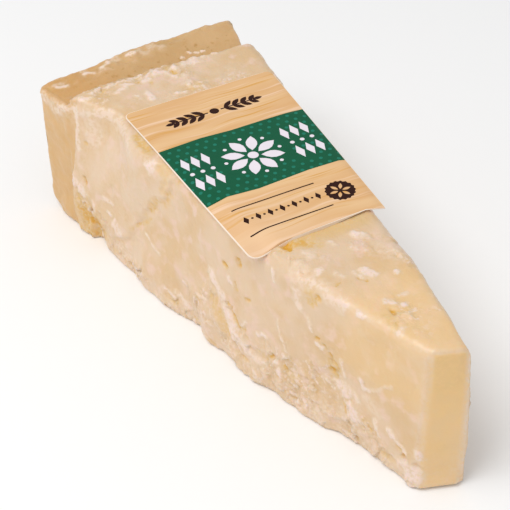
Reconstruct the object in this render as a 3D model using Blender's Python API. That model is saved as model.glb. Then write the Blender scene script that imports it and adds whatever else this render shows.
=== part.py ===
"""A wedge of aged hard cheese with its rind, and the paper label that is folded over its top.

Metres, +Z up. The nose points to -Y and the rind to +Y. The origin is on the ground, under the middle.
"""
import math
import random

import bmesh
import bpy
from mathutils import Vector

# The whole wedge
LENGTH = 0.1745
HEIGHT = 0.0523
NOSE_WIDTH = 0.0134
NOSE_TURN = math.radians(-23.0)
BACK_WIDTH = 0.0745
BACK_TURN = math.radians(-2.4)
NOSE_AT = Vector((0.0000, -0.0877))

# How its edges are rounded off
NOSE_ROUND = 0.0021
FOOT_ROUND = 0.0016
RIGHT_SHOULDER = 0.0038
LEFT_SHOULDER = 0.0030
LEFT_SHOULDER_EXTRA = 0.0032
SHOULDER_AT = 0.078
SHOULDER_REACH = 0.058
LEAST_ROUND = 0.0006
FLAT_FOOT = 0.004
BACK_ROUND = 0.0016
WHEEL_CORNER = 0.0075

# The rind: how thick it is, how far it has shrunk back, and the curve of the wheel's side
RIND_THICK = 0.0160
RIND_DROP = 0.0048
RIND_CURL = 0.0036
RIND_INSET = 0.0004
RIND_STEP = 0.0007
WHEEL_SAG = 0.0030
WHEEL_SAG_FROM = 0.024

# The broken sides begin this far out from the middle, as shares of the half width
SIDE_FROM = (0.55, 0.98)

# Where they stand out or are hollow: along from the nose, up, reach along, reach up, how proud
LEFT_LUMPS = (
    (0.054, 0.030, 0.066, 0.150, 0.0046),
    (0.090, 0.000, 0.060, 0.040, 0.0046),
    (0.114, 0.004, 0.018, 0.026, 0.0022),
    (0.126, 0.034, 0.030, 0.022, 0.0010),
    (0.142, 0.0523, 0.021, 0.028, -0.0068),
    (0.143, 0.004, 0.024, 0.030, 0.0026),
    (0.042, 0.000, 0.014, 0.020, 0.0022),
    (0.097, 0.004, 0.009, 0.016, -0.0040),
    (0.149, 0.004, 0.006, 0.018, -0.0030),
    (0.162, 0.010, 0.014, 0.030, 0.0014),
    (0.010, 0.000, 0.024, 0.030, 0.0022),
)
RIGHT_LUMPS = (
    (0.035, 0.050, 0.014, 0.030, 0.0006),
    (0.080, 0.014, 0.040, 0.036, 0.0016),
    (0.120, 0.036, 0.030, 0.024, -0.0012),
    (0.146, 0.006, 0.012, 0.020, -0.0014),
    (0.026, 0.008, 0.020, 0.022, 0.0010),
)

# Hollows in the top: along from the nose, off the middle, reach along, reach across, how deep
TOP_DIPS = (
    (0.0360, -0.0030, 0.010, 0.008, 0.0005),
    (0.0245, 0.0005, 0.006, 0.006, 0.0004),
    (0.1500, 0.0100, 0.008, 0.020, 0.0006),
)

# The slow unevenness of every broken face
SWELL = 0.00035
SWELL_WAVES = 7
SWELL_SHORTEST = 0.011
SWELL_LONGEST = 0.030
SWELL_SEED = 12

# Points round one section, side by side
FOOT_CELLS = 8
SIDE_CELLS = 8
TOP_CELLS = 10
CORNER_CELLS = 4
BODY_CELLS = 42
END_CELLS = 4
RIND_CELLS = 4
CAP_RINGS = 3

# The label: its flat size, its place on the top, and how it bends down over both shoulders
LABEL_BACK_WIDTH = 0.0520
LABEL_FRONT_WIDTH = 0.0438
LABEL_LENGTH = 0.0794
LABEL_CORNER = 0.0030
LABEL_THICK = 0.0003
LABEL_GAP = 0.0003
LABEL_MIDDLE = Vector((-0.0003, 0.0992))
LABEL_TURN = math.radians(-3.7)
LEFT_BEND_FROM = (-0.0056, -0.0024)
LEFT_BEND_RADIUS = (0.0070, 0.0120)
LEFT_BEND_MOST = (math.radians(28.0), math.radians(16.0))
RIGHT_BEND_FROM = (-0.0040, -0.0014)
RIGHT_BEND_RADIUS = (0.0075, 0.0085)
RIGHT_BEND_MOST = (math.radians(46.0), math.radians(30.0))
LABEL_CELLS_ACROSS = 34
LABEL_CELLS_ALONG = 18
LABEL_CORNER_CELLS = 3

CHEESE_COLOUR = (0.78, 0.55, 0.32, 1.0)
CHEESE_ROUGHNESS = 0.45
PAPER_COLOUR = (0.80, 0.52, 0.24, 1.0)
PAPER_ROUGHNESS = 0.55


def clear_scene():
    for thing in list(bpy.data.objects):
        bpy.data.objects.remove(thing, do_unlink=True)


def ease(value, start, end):
    """0 before start, 1 after end, and a smooth S between them."""
    share = min(max((value - start) / (end - start), 0.0), 1.0)
    return share * share * (3.0 - 2.0 * share)


def mound(offset, reach):
    """1 in the middle, falling smoothly to 0 at the reach."""
    share = min(abs(offset) / reach, 1.0)
    return 0.5 + 0.5 * math.cos(math.pi * share)


def round_in(depth, radius):
    """How far a surface has drawn in at this depth below the end of a quarter round."""
    left = max(radius - depth, 0.0)
    return radius - math.sqrt(radius * radius - left * left)


def make_swell():
    """A slow, uneven wave in space, the same every time."""
    chance = random.Random(SWELL_SEED)
    waves = []
    for _ in range(SWELL_WAVES):
        heading = Vector([chance.gauss(0.0, 1.0) for _ in range(3)]).normalized()
        length = chance.uniform(SWELL_SHORTEST, SWELL_LONGEST)
        waves.append((heading * (2.0 * math.pi / length), chance.uniform(0.0, 2.0 * math.pi)))

    def swell(place):
        return sum(math.sin(wave.dot(place) + start) for wave, start in waves) / math.sqrt(len(waves))

    return swell


def plan_corners():
    """The four corners of the plan, seen from above: nose left, nose right, back left, back right."""
    nose_half = Vector((math.cos(NOSE_TURN), math.sin(NOSE_TURN))) * NOSE_WIDTH / 2
    back_half = Vector((math.cos(BACK_TURN), math.sin(BACK_TURN))) * BACK_WIDTH / 2
    back_at = NOSE_AT + Vector((0.0, LENGTH))
    return NOSE_AT - nose_half, NOSE_AT + nose_half, back_at - back_half, back_at + back_half


def lumps_at(lumps, along, up):
    """How far a side stands out here."""
    return sum(
        proud * mound(along - at, reach) * mound(up - height, tall)
        for at, height, reach, tall, proud in lumps
    )


def even_steps(start, end, cells):
    return [start + (end - start) * step / cells for step in range(cells + 1)]


def section_outline(left, right, foot, top, radii):
    """A rounded rectangle as points (across, up): the foot, right side, top and left side in turn."""
    points = []

    def run(start, end, cells):
        for share in even_steps(0.0, 1.0, cells)[:-1]:
            points.append(start.lerp(end, share))

    def corner(centre, radius, start_angle):
        for step in range(CORNER_CELLS):
            angle = start_angle + math.pi / 2 * step / CORNER_CELLS
            points.append(centre + Vector((math.cos(angle), math.sin(angle))) * radius)

    foot_round, right_round, left_round = radii
    foot_left = Vector((left + foot_round, foot + foot_round))
    foot_right = Vector((right - foot_round, foot + foot_round))
    top_right = Vector((right - right_round, top - right_round))
    top_left = Vector((left + left_round, top - left_round))
    run(Vector((foot_left.x, foot)), Vector((foot_right.x, foot)), FOOT_CELLS)
    corner(foot_right, foot_round, -math.pi / 2)
    run(Vector((right, foot_right.y)), Vector((right, top_right.y)), SIDE_CELLS)
    corner(top_right, right_round, 0.0)
    run(Vector((top_right.x, top)), Vector((top_left.x, top)), TOP_CELLS)
    corner(top_left, left_round, math.pi / 2)
    run(Vector((left, top_left.y)), Vector((left, foot_left.y)), SIDE_CELLS)
    corner(foot_left, foot_round, math.pi)
    return points


def stations():
    """How far each section is from the nose: close together where the form turns fast."""
    nose = [NOSE_ROUND * (1.0 - math.cos(math.pi / 2 * step / END_CELLS)) for step in range(END_CELLS)]
    rind_from = LENGTH - RIND_THICK
    body = even_steps(NOSE_ROUND, rind_from - RIND_STEP, BODY_CELLS)
    rind = even_steps(rind_from + RIND_STEP, LENGTH - WHEEL_CORNER, RIND_CELLS)[:-1]
    back = [
        LENGTH - WHEEL_CORNER * (1.0 - math.sin(math.pi / 2 * step / (END_CELLS + 1)))
        for step in range(END_CELLS + 2)
    ]
    return nose + body + rind + back


def wedge_section(along, swell):
    """One upright section of the wedge, as points in space."""
    nose_left, nose_right, back_left, back_right = plan_corners()
    line_left = nose_left.lerp(back_left, along / LENGTH)
    line_right = nose_right.lerp(back_right, along / LENGTH)
    middle = (line_left + line_right) / 2
    across = (line_right - line_left).normalized()
    half = (line_right - line_left).length / 2

    # The rind begins at a step, and the ends are drawn in to round them off
    rind_from = LENGTH - RIND_THICK
    rind = ease(along, rind_from - RIND_STEP, rind_from + RIND_STEP)
    nose_in = round_in(along, NOSE_ROUND)
    drawn_in = nose_in + round_in(LENGTH - along, BACK_ROUND)
    edge = half - RIND_INSET * rind - drawn_in
    foot = nose_in + round_in(LENGTH - along, WHEEL_CORNER)
    top = HEIGHT - drawn_in
    left_shoulder = LEFT_SHOULDER + LEFT_SHOULDER_EXTRA * mound(along - SHOULDER_AT, SHOULDER_REACH)
    rounds = (FOOT_ROUND, RIGHT_SHOULDER, left_shoulder)
    radii = [max(radius - drawn_in, LEAST_ROUND) for radius in rounds]

    points = []
    for aside, up in section_outline(-edge, edge, foot, top, radii):
        side = aside / half
        place = Vector((*(middle + across * aside), up))
        rough = SWELL * swell(place) * ease(up, 0.0, FLAT_FOOT) * (1.0 - rind)
        push_left = lumps_at(LEFT_LUMPS, along, up) * (1.0 - rind) + rough
        push_right = lumps_at(RIGHT_LUMPS, along, up) * (1.0 - rind) + rough
        shift = across * (push_right * ease(side, *SIDE_FROM) - push_left * ease(-side, *SIDE_FROM))
        curl = RIND_CURL * ease(along, rind_from, LENGTH) * (0.5 + 0.5 * side)
        sunk = (RIND_DROP - curl) * rind * up / HEIGHT
        dip = sum(
            deep * mound(along - at, reach) * mound(aside - off_middle, wide)
            for at, off_middle, reach, wide, deep in TOP_DIPS
        )
        place += Vector((shift.x, shift.y, -sunk - dip * ease(up, top - LEAST_ROUND, top)))
        points.append(place)
    return points


def bow_wheel_side(mesh):
    """Gives the back the curve of the wheel's side, which was turned round its middle."""
    for corner in mesh.verts:
        along = corner.co.y - NOSE_AT.y
        side = (corner.co.x - NOSE_AT.x) / (BACK_WIDTH / 2)
        share = ease(along, LENGTH - WHEEL_SAG_FROM, LENGTH - WHEEL_SAG)
        corner.co.y += WHEEL_SAG * share * max(1.0 - side * side, 0.0)


def bridge(mesh, ring, next_ring):
    """A band of triangles between two rings of corners. It faces out when the rings run to the back."""
    count = len(ring)
    for at in range(count):
        after = (at + 1) % count
        mesh.faces.new((ring[after], ring[at], next_ring[at]))
        mesh.faces.new((ring[after], next_ring[at], next_ring[after]))


def cap(mesh, ring, facing_back):
    """Closes an end with smaller and smaller rings and a fan at its middle."""
    middle = sum((corner.co for corner in ring), Vector()) / len(ring)
    last = ring
    for step in range(1, CAP_RINGS + 1):
        share = step / (CAP_RINGS + 1)
        inner = [mesh.verts.new(corner.co.lerp(middle, share)) for corner in ring]
        if facing_back:
            bridge(mesh, last, inner)
        else:
            bridge(mesh, inner, last)
        last = inner
    centre = mesh.verts.new(middle)
    for at in range(len(last)):
        first, second = last[at], last[(at + 1) % len(last)]
        corners = (second, first, centre) if facing_back else (first, second, centre)
        mesh.faces.new(corners)


def new_object(name, mesh, material, sharp_angle):
    data = bpy.data.meshes.new(name)
    mesh.to_mesh(data)
    mesh.free()
    data.shade_smooth()
    data.set_sharp_from_angle(angle=sharp_angle)
    data.materials.append(material)
    piece = bpy.data.objects.new(name, data)
    bpy.context.scene.collection.objects.link(piece)
    return piece


def new_material(name, colour, roughness):
    material = bpy.data.materials.new(name)
    material.use_nodes = True
    shader = material.node_tree.nodes["Principled BSDF"]
    shader.inputs["Base Color"].default_value = colour
    shader.inputs["Roughness"].default_value = roughness
    shader.inputs["Metallic"].default_value = 0.0
    return material


def build_wedge():
    """The cheese itself: sections from the nose to the rind, joined into one closed skin."""
    swell = make_swell()
    mesh = bmesh.new()
    rings = []
    for along in stations():
        rings.append([mesh.verts.new(place) for place in wedge_section(along, swell)])
    for ring, next_ring in zip(rings, rings[1:]):
        bridge(mesh, ring, next_ring)
    cap(mesh, rings[0], facing_back=False)
    cap(mesh, rings[-1], facing_back=True)
    bow_wheel_side(mesh)
    return new_object("wedge", mesh, new_material("cheese", CHEESE_COLOUR, CHEESE_ROUGHNESS), math.radians(50))


def bend(over, radius, most):
    """Where a strip that starts to bend at 0 comes to: how far out, and how far down."""
    if over <= 0.0:
        return over, 0.0
    turned = min(over / radius, most)
    straight = over - turned * radius
    out = radius * math.sin(turned) + straight * math.cos(turned)
    down = radius * (1.0 - math.cos(turned)) + straight * math.sin(turned)
    return out, down


def between(pair, share):
    return pair[0] + (pair[1] - pair[0]) * share


def fold_down(flat, corner, outward, begins, radii, mosts, share):
    """Bends a point of the flat label down over the edge line through this corner."""
    over = (flat - corner).dot(outward)
    begin = between(begins, share)
    out, down = bend(over - begin, between(radii, share), between(mosts, share))
    return outward * (out + begin - over), down


def label_point(across, along):
    """The underside of the label, across from its middle line and along from its back edge."""
    nose_left, nose_right, back_left, back_right = plan_corners()
    right_way = Vector((math.cos(LABEL_TURN), math.sin(LABEL_TURN)))
    nose_way = Vector((right_way.y, -right_way.x))
    flat = NOSE_AT + LABEL_MIDDLE + right_way * across + nose_way * (along - LABEL_LENGTH / 2)
    share = along / LABEL_LENGTH
    left_line = (nose_left - back_left).normalized()
    right_line = (nose_right - back_right).normalized()
    left_out = Vector((left_line.y, -left_line.x))
    right_out = Vector((-right_line.y, right_line.x))
    left_shift, left_down = fold_down(
        flat, nose_left, left_out, LEFT_BEND_FROM, LEFT_BEND_RADIUS, LEFT_BEND_MOST, share
    )
    right_shift, right_down = fold_down(
        flat, nose_right, right_out, RIGHT_BEND_FROM, RIGHT_BEND_RADIUS, RIGHT_BEND_MOST, share
    )
    flat = flat + left_shift + right_shift
    return Vector((flat.x, flat.y, HEIGHT + LABEL_GAP - left_down - right_down))


def label_rows():
    """Steps along the label, with its rounded corners cut finer."""
    corner = [
        LABEL_CORNER * (1.0 - math.cos(math.pi / 2 * step / LABEL_CORNER_CELLS))
        for step in range(LABEL_CORNER_CELLS)
    ]
    body = even_steps(LABEL_CORNER, LABEL_LENGTH - LABEL_CORNER, LABEL_CELLS_ALONG)
    return corner + body + [LABEL_LENGTH - step for step in reversed(corner)]


def build_label():
    """The label: one sheet of even thickness, bent over both shoulders of the wedge."""
    mesh = bmesh.new()
    rows = []
    for along in label_rows():
        from_end = min(along, LABEL_LENGTH - along)
        inset = round_in(from_end, LABEL_CORNER)
        half = between((LABEL_BACK_WIDTH, LABEL_FRONT_WIDTH), along / LABEL_LENGTH) / 2 - inset
        steps = even_steps(-half, half, LABEL_CELLS_ACROSS)
        rows.append([mesh.verts.new(label_point(across, along)) for across in steps])
    for row, next_row in zip(rows, rows[1:]):
        for at in range(LABEL_CELLS_ACROSS):
            mesh.faces.new((row[at], next_row[at], next_row[at + 1], row[at + 1]))
    label = new_object("label", mesh, new_material("label", PAPER_COLOUR, PAPER_ROUGHNESS), math.radians(40))
    thicken = label.modifiers.new("paper", "SOLIDIFY")
    thicken.thickness = LABEL_THICK
    thicken.offset = 1.0
    split = label.modifiers.new("triangles", "TRIANGULATE")
    split.keep_custom_normals = True
    return label


clear_scene()
build_wedge()
build_label()
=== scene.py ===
"""The looks of a wedge of aged hard cheese with its rind and a printed paper label.

+Z is up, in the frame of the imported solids: the nose points to -Y and the rind to +Y. The room is in
metres. The cheese and the label are worked out in millimetres and made in metres.
"""
import math

import bpy
import numpy as np
from mathutils import Matrix, Vector, geometry, noise


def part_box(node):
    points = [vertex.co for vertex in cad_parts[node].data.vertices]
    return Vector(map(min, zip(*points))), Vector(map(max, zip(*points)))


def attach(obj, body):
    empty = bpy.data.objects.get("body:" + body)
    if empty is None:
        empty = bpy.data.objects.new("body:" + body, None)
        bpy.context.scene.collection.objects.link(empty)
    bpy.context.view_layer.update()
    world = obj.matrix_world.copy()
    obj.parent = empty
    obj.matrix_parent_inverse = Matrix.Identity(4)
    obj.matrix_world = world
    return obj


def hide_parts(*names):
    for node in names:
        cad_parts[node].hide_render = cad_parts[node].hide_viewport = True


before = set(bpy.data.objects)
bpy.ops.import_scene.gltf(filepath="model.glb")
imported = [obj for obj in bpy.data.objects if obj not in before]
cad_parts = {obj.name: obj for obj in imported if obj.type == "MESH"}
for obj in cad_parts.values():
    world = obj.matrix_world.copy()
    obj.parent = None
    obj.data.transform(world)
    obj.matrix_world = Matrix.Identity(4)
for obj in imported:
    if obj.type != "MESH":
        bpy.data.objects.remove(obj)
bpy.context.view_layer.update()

MM = 0.001
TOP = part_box("wedge")[1].z / MM

# The camera stands where the photograph was taken from
CAMERA_AT = (-0.18859, -0.31221, 0.32868)
CAMERA_AZIMUTH = math.radians(-30.05)
CAMERA_ELEVATION = math.radians(40.0)
CAMERA_ROLL = math.radians(-1.645)
LENS_MM = 109.23
SENSOR_MM = 36.0

# Soft studio light: white all round, with a large soft lamp above and to the left
ROOM_LIGHT = 0.60
KEY_AT = (-0.42, -0.05, 0.85)
KEY_SIZE = 0.55
KEY_WATTS = 4.6
FLOOR_REACH = 4.0
FLOOR_WHITE = "#fafafa"

# The plan of the wedge: the foot of the left face, and the two lines that the top lies between
LEFT_NOSE = Vector((-5.9, -84.7))
LEFT_BACK = Vector((-36.8, 84.6))
NOSE_AT = Vector((0.0, -87.7))
NOSE_TURN = math.radians(-23.0)
RIND_FROM = 70.9
RIGHT_NOSE = Vector((6.2, -90.3))
RIGHT_BACK = Vector((37.2, 85.2))
RIND_SLOPE = -0.048

# The left face, as places along from the nose and up. The paste is crumbly below this line
CRUMBLE_LINE = (
    (0, 8), (14, 12), (22, 16), (33, 27), (45, 22), (60, 18), (75, 20), (88, 24), (94, 8), (108, 5),
    (122, 7), (134, 12), (146, 18), (156, 20),
)

# How far its foot stands out from the plane between its corners
FOOT_LINE = (
    (0, 1.2), (3, 1.9), (6, 1.8), (17, 1.8), (24, 2.0), (31, 2.6), (34, 4.6), (43, 5.6), (46, 5.1),
    (51, 5.9), (55, 5.2), (61, 6.7), (67, 6.7), (73, 5.7), (79, 4.8), (84, 6.0), (87, 5.6), (92, 3.3),
    (98, 3.9), (107, 5.3), (112, 4.3), (118, 4.4), (127, 2.7), (134, 1.9), (142, 1.0), (147, -0.9),
    (149.5, -0.8), (151, 1.5), (155, 1.5), (160, 0.7), (166, 0.5), (171, -0.5),
)

# The right edge of its proud pale patch, from above the top down to below the foot
PATCH_EDGE = (
    (98, 60), (104, 50), (107, 45), (109.5, 41), (114, 36), (117.5, 33), (121, 27), (124, 21), (130, 13),
    (137, 8), (150, -6),
)

# How far along the left face its paste reaches, by height: the rind begins behind
LEFT_PASTE_END = ((0, 158.5), (25, 157.4), (35, 156.8), (45, 156.2), (52, 156.0))

# Pale flakes and crumbs on the left face: from here (along, up) to there, reach, how pale
LEFT_FLAKES = (
    (156.6, 48.7, 154.7, 34.2, 1.3, 0.5), (155, 47.8, 143, 50.6, 1.6, 0.4), (150, 45, 148, 41, 4.0, 0.3),
    (139.7, 50, 127.5, 49.2, 3.1, 0.35), (156, 21, 152.5, 20, 2.2, 0.75), (146, 18, 146, 16, 0.8, 0.6),
    (148, 13.5, 149.5, 9.5, 1, 0.5), (140.5, 23.5, 137, 23, 1.1, 0.55), (139, 19, 137, 18.5, 0.7, 0.9),
    (135, 18, 134, 17.5, 0.7, 1), (135, 16, 132.5, 13.5, 2.2, 0.6), (115.5, 49.5, 114.5, 49, 2.2, 0.8),
    (118.5, 22, 111, 19, 0.7, 0.6), (107, 8.5, 102.5, 7, 0.6, 0.8), (102, 9, 97, 6.5, 1.5, 0.5),
    (91, 16.5, 86, 17.5, 0.6, 0.6), (99, 15.5, 97, 15, 0.6, 0.9), (84, 28.5, 83, 27, 2.2, 0.9),
    (82.5, 26.5, 78, 24, 1.8, 0.75), (78, 24, 77.5, 21.5, 1.2, 0.6), (76.5, 20, 73.5, 17, 2.0, 0.8),
    (73.5, 17, 72, 12.5, 2.1, 0.8), (70.5, 13, 65, 11, 2.1, 0.7), (64.5, 10.5, 59.5, 10.5, 1.4, 0.5),
    (69.5, 18.5, 66.5, 21.5, 0.6, 0.8), (55.5, 48.5, 55, 44, 0.8, 0.8), (74.5, 32.5, 73, 32, 1.1, 0.8),
    (61.5, 20, 58.5, 21, 1.1, 0.9), (53.5, 31, 50, 21, 0.6, 0.5), (53.5, 14.5, 52, 11, 1.4, 0.6),
    (47.5, 51.5, 43.5, 50, 2.9, 0.42), (46, 46.5, 45, 41.5, 1.9, 0.6), (33.5, 50.5, 30, 50.5, 3.0, 0.5),
    (23.5, 51.5, 23, 52, 1.7, 0.9), (41.5, 39, 40.5, 37.5, 1.1, 0.5), (40.5, 36, 40, 35.5, 0.7, 0.8),
    (37.5, 32, 36, 31.5, 0.9, 0.7), (29, 31, 28, 25.5, 0.7, 0.6), (34, 20, 32, 18, 0.7, 0.5),
    (29, 21, 27, 19, 3.1, 0.75), (24.5, 20.5, 23, 19.5, 1.3, 0.6), (25, 15, 24, 12.5, 2.7, 0.85),
    (22, 28, 21, 26, 1, 0.9), (21, 25.5, 19.5, 25.5, 0.8, 0.7), (19.5, 25.5, 11, 32.5, 0.7, 0.35),
    (19, 22, 16, 20, 2.6, 0.35), (16, 16.5, 14.5, 12, 1.1, 0.6), (11, 16.5, 9, 15, 1.1, 0.85),
    (8.5, 14.5, 5, 12, 0.8, 0.6), (5, 7, 1.5, 5, 2.8, 0.55), (1, 14.5, 0.5, 12.5, 1, 0.7),
    (63, 5, 62, 3.5, 1.3, 0.55), (42, 7, 41, 5, 1, 0.5), (48, 5.5, 45.5, 4, 0.7, 0.6),
    (174, 46, 169, 43, 1.8, 0.3), (166, 44, 159, 48, 1.8, 0.3),
)

# Its ochre pits and cracks: from here (along, up) to there, reach, how deep
LEFT_PITS = (
    (152, 38, 151.5, 37.5, 0.8, 0.5), (151.5, 25, 150.5, 24, 1, 1.0),
    (111.5, 50.5, 108, 50.5, 1.3, 0.4), (108, 48, 109.5, 43.5, 1.6, 0.35), (113, 38, 116.5, 33, 1.6, 0.35),
    (116, 28.5, 127, 19, 0.7, 0.15), (151, 10, 143, 9, 4.2, 0.25), (138, 3, 136, 4, 1.2, 0.2),
    (127, 3.5, 126, 3.5, 1.3, 0.3), (105.5, 6.5, 102.5, 5.5, 1.6, 0.2), (81, 19.5, 76, 12, 2.7, 0.2),
    (75.5, 23, 70.5, 17.5, 0.5, 0.4), (67, 30, 65.5, 30.5, 0.6, 0.5), (77.5, 37, 76, 36, 0.7, 0.7),
    (71.5, 41, 71, 39.5, 0.8, 0.7), (72, 32.5, 71.5, 31, 0.8, 0.3), (83.5, 2.5, 82.5, 1.5, 0.9, 0.3),
    (68, 7, 65.5, 7.5, 0.9, 0.4), (56.5, 14.5, 54, 15, 0.9, 0.4), (50.5, 14.5, 50, 13.5, 0.7, 0.4),
    (42.5, 49.5, 40, 46, 2.0, 0.4), (39, 48, 38, 48.5, 1.1, 0.6),
    (38, 34, 37.5, 34, 0.7, 0.5), (35.5, 33, 35, 32, 0.6, 0.5), (34, 31, 33, 30, 0.6, 0.5),
    (33, 28.5, 32.5, 27.5, 0.6, 0.6), (32, 27, 31, 23, 2.1, 0.45), (28, 16, 25, 17.5, 0.9, 0.3),
    (28, 15.5, 27, 12, 0.6, 0.4), (18.5, 13, 17.5, 12, 0.8, 0.4), (8, 12.5, 6.5, 12, 0.6, 0.3),
    (5.5, 10.5, 5, 9, 0.8, 0.8), (12.5, 5.5, 9.5, 5.5, 1.7, 0.25), (1.5, 9, 0.5, 8.5, 0.9, 0.5),
    (44, 5, 43.5, 4.5, 0.6, 0.4),
)

# The same on the top, as places across and along in the frame
TOP_FLAKES = (
    (-2.5, -33.5, -2, -35, 1, 0.6), (4.7, -34, 6, -36, 1.7, 1), (7.5, -43, 8.5, -47, 3, 0.3),
    (-11.5, -33.5, -10.5, -36, 1.3, 0.5), (-15, -36.5, -14.5, -39.5, 1.9, 0.35),
    (-12.5, -42, -13, -43.5, 1.2, 0.8), (-15.5, -43.5, -15, -47.5, 2.3, 0.42), (-9, -45.5, -8, -48, 1, 0.5),
    (-1.5, -48.5, -0.5, -51, 1.7, 0.85),
    (-4.5, -48, -3.5, -50, 0.9, 0.5), (5.5, -53.5, 5.5, -54.5, 0.7, 1), (-4, -62, -2.5, -64.5, 1, 0.7),
    (-4, -61.5, -5, -63, 0.5, 0.8), (-1, -65.5, -1, -66.5, 0.8, 0.95), (0.5, -62, 3, -62.5, 0.7, 0.5),
    (-8.5, -74.5, -6.5, -73.5, 1.3, 0.45), (-29.5, 69, -27.5, 67, 0.9, 0.7), (-30, 67, -29, 64.5, 0.8, 0.6),
    (-26, 69.5, -25.5, 68, 0.6, 0.8), (-25.5, 62.5, -23.5, 63, 0.5, 0.7), (-20, 65.5, -15.5, 66, 1, 0.85),
    (-15, 67, -12.5, 67, 1, 0.8), (-11.5, 71, -8.5, 70.5, 0.6, 0.8), (-9, 67, -7, 67, 1.3, 0.9),
    (-7, 69, -3.5, 71, 0.6, 0.85), (-5, 68, -1.5, 68, 1.4, 0.7), (-1, 68, 1, 63.5, 0.9, 0.8),
    (3.5, 77, 5, 76.5, 0.5, 0.8), (3, 68.5, 3, 67.5, 0.7, 1), (11, 77.5, 11.5, 77.5, 0.6, 0.9),
    (7.5, 69.5, 11.5, 68, 1.8, 0.75), (9, 66.5, 11.5, 68, 0.8, 0.6), (14, 79, 14.5, 78.5, 0.5, 0.9),
    (16, 78, 17.5, 77.5, 0.5, 1), (18.5, 77.5, 19.5, 77, 0.6, 0.9), (18, 69.5, 19, 69, 0.6, 0.9),
    (-10.5, 60, -11, 56.5, 1.5, 0.95), (-15.5, 60.5, -14.5, 59.5, 0.6, 0.7), (-3, 54.5, -0.5, 54, 0.9, 0.8),
    (4, 63.5, 2.5, 56.5, 1.4, 0.4), (3.5, 54.5, 5.5, 53.5, 0.8, 0.5), (-20.5, 87, -18, 86.5, 1.1, 0.7),
    (-4.5, 87.5, -1.5, 87, 0.8, 0.7), (-31.5, 85.5, -28.5, 84, 0.9, 0.5), (-14, 87.5, -11, 88, 0.8, 0.6),
)
# On the top the second pit is a shallow dip painted ochre as the shadow of the label's front edge
TOP_PITS = (
    (-14, -26, -14, -28.5, 1.9, 1.1), (-12.5, -28.5, -6, -33, 1.9, 0.1), (-12, -50, -10.5, -49.5, 0.5, 0.4),
    (-4.5, -50, -4, -50.5, 0.6, 0.4), (-3, -52, -3, -52.5, 0.5, 0.4), (-4.5, -66, -5, -68, 0.9, 0.8),
    (-7, -68, -8, -72.5, 1.9, 0.1), (-12.5, 67.5, -10.5, 67.5, 0.6, 0.4), (-7.5, 65, -7.5, 64.5, 0.5, 0.3),
    (1.5, 67, 1.5, 66, 0.9, 0.3), (-25, 41, -25, 33, 1.7, 0.45),
)

# The paste's colours, from its deep body to its crumbled crests, and the rind's
PASTE_DEEP = "#dcba8e"
PASTE_BODY = "#e1c4a3"
PASTE_ROSY = "#e7c7b0"
PASTE_WARM = "#f0c88a"
PASTE_PALE = "#e8cfb4"
PASTE_WHITE = "#f0d8cb"
PASTE_STRAW = "#dfbb80"
PASTE_OCHRE = "#dca436"
RIND_BODY = "#cba36e"
RIND_PALE = "#d3ac7a"
RIND_DARK = "#bd9150"
RIND_ORANGE = "#d09a54"
RIND_SIDE = "#d9ae73"

# How finely the cheese is modelled, how its even skin is smoothed first, over how many rounds its
# neighbours' heights are averaged to find its crests, and how deep its finest grain is at least
SKIN_CELL = 0.545
SKIN_SMOOTHING = 10
SKIN_TRIANGLES = 196000
CREST_ROUNDS = 14
LEAST_GRAIN = 0.10

# The label: its flat size and how it bends over both shoulders, as on its solid
PLAN_NOSE_WIDTH = 13.4
PLAN_BACK_WIDTH = 74.5
PLAN_BACK_TURN = math.radians(-2.4)
PLAN_LENGTH = 174.5
LABEL_BACK_WIDTH = 52.0
LABEL_FRONT_WIDTH = 43.8
LABEL_LENGTH = 79.4
LABEL_THICK = 0.16
LABEL_GAP = 0.3
LABEL_MIDDLE = Vector((-0.3, 99.2))
LABEL_TURN = math.radians(-3.7)
LEFT_BEND_FROM = (-5.6, -2.4)
LEFT_BEND_RADIUS = (7.0, 12.0)
LEFT_BEND_MOST = (math.radians(28.0), math.radians(16.0))
RIGHT_BEND_FROM = (-4.0, -1.4)
RIGHT_BEND_RADIUS = (7.5, 8.5)
RIGHT_BEND_MOST = (math.radians(46.0), math.radians(30.0))

# Its print, as places across from the middle line and along from the back edge
LABEL_CORNERS = (3.0, 3.0, 0.8, 2.0, 3.2)
LEAST_CORNER = 0.3
FRONT_DIP_AT = (16.0, 78.0)
LABEL_BORDERS = (0.4, 0.1, 0.1, 0.3)
LABEL_CELL = (1.0, 1.3)
LABEL_CELLS_REACH = 27.0
BAND_BACK_EDGE = ((-32, 23.2), (-20, 23.3), (-10, 22.9), (0, 23.7), (10, 23.7), (19, 23.9), (32, 24.6))
BAND_FRONT_EDGE = ((32, 54.2), (21, 53.3), (11, 53.0), (4, 53.4), (-6, 53.9), (-16, 53.0), (-32, 53.2))
ROSETTE_AT = (0.0, 38.4)
ROSETTE_PETALS = 8
LOZENGE_ROWS = (33.2, 43.6)
DOT_PITCH = 3.1
DOT_RADIUS = 0.62
DOT_CLEARANCE = 1.5
DOT_ROWS_FROM, DOT_ROWS_TO = 24.6, 52.4
DOT_REACH = 23.6
SPRIG_ALONG = 12.0
SPRIG_LEAN = math.radians(38.0)
RULES_MIDDLE = -4.4
RULES_ALONG = (59.4, 71.2)
CHAIN_ALONG = 65.3
CHAIN_PITCH = 3.9
SEAL_AT = (14.2, 66.2)
SEAL_RADIUS = 4.7
SEAL_SCALLOP = 0.09
SEAL_PETALS = 6

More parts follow.
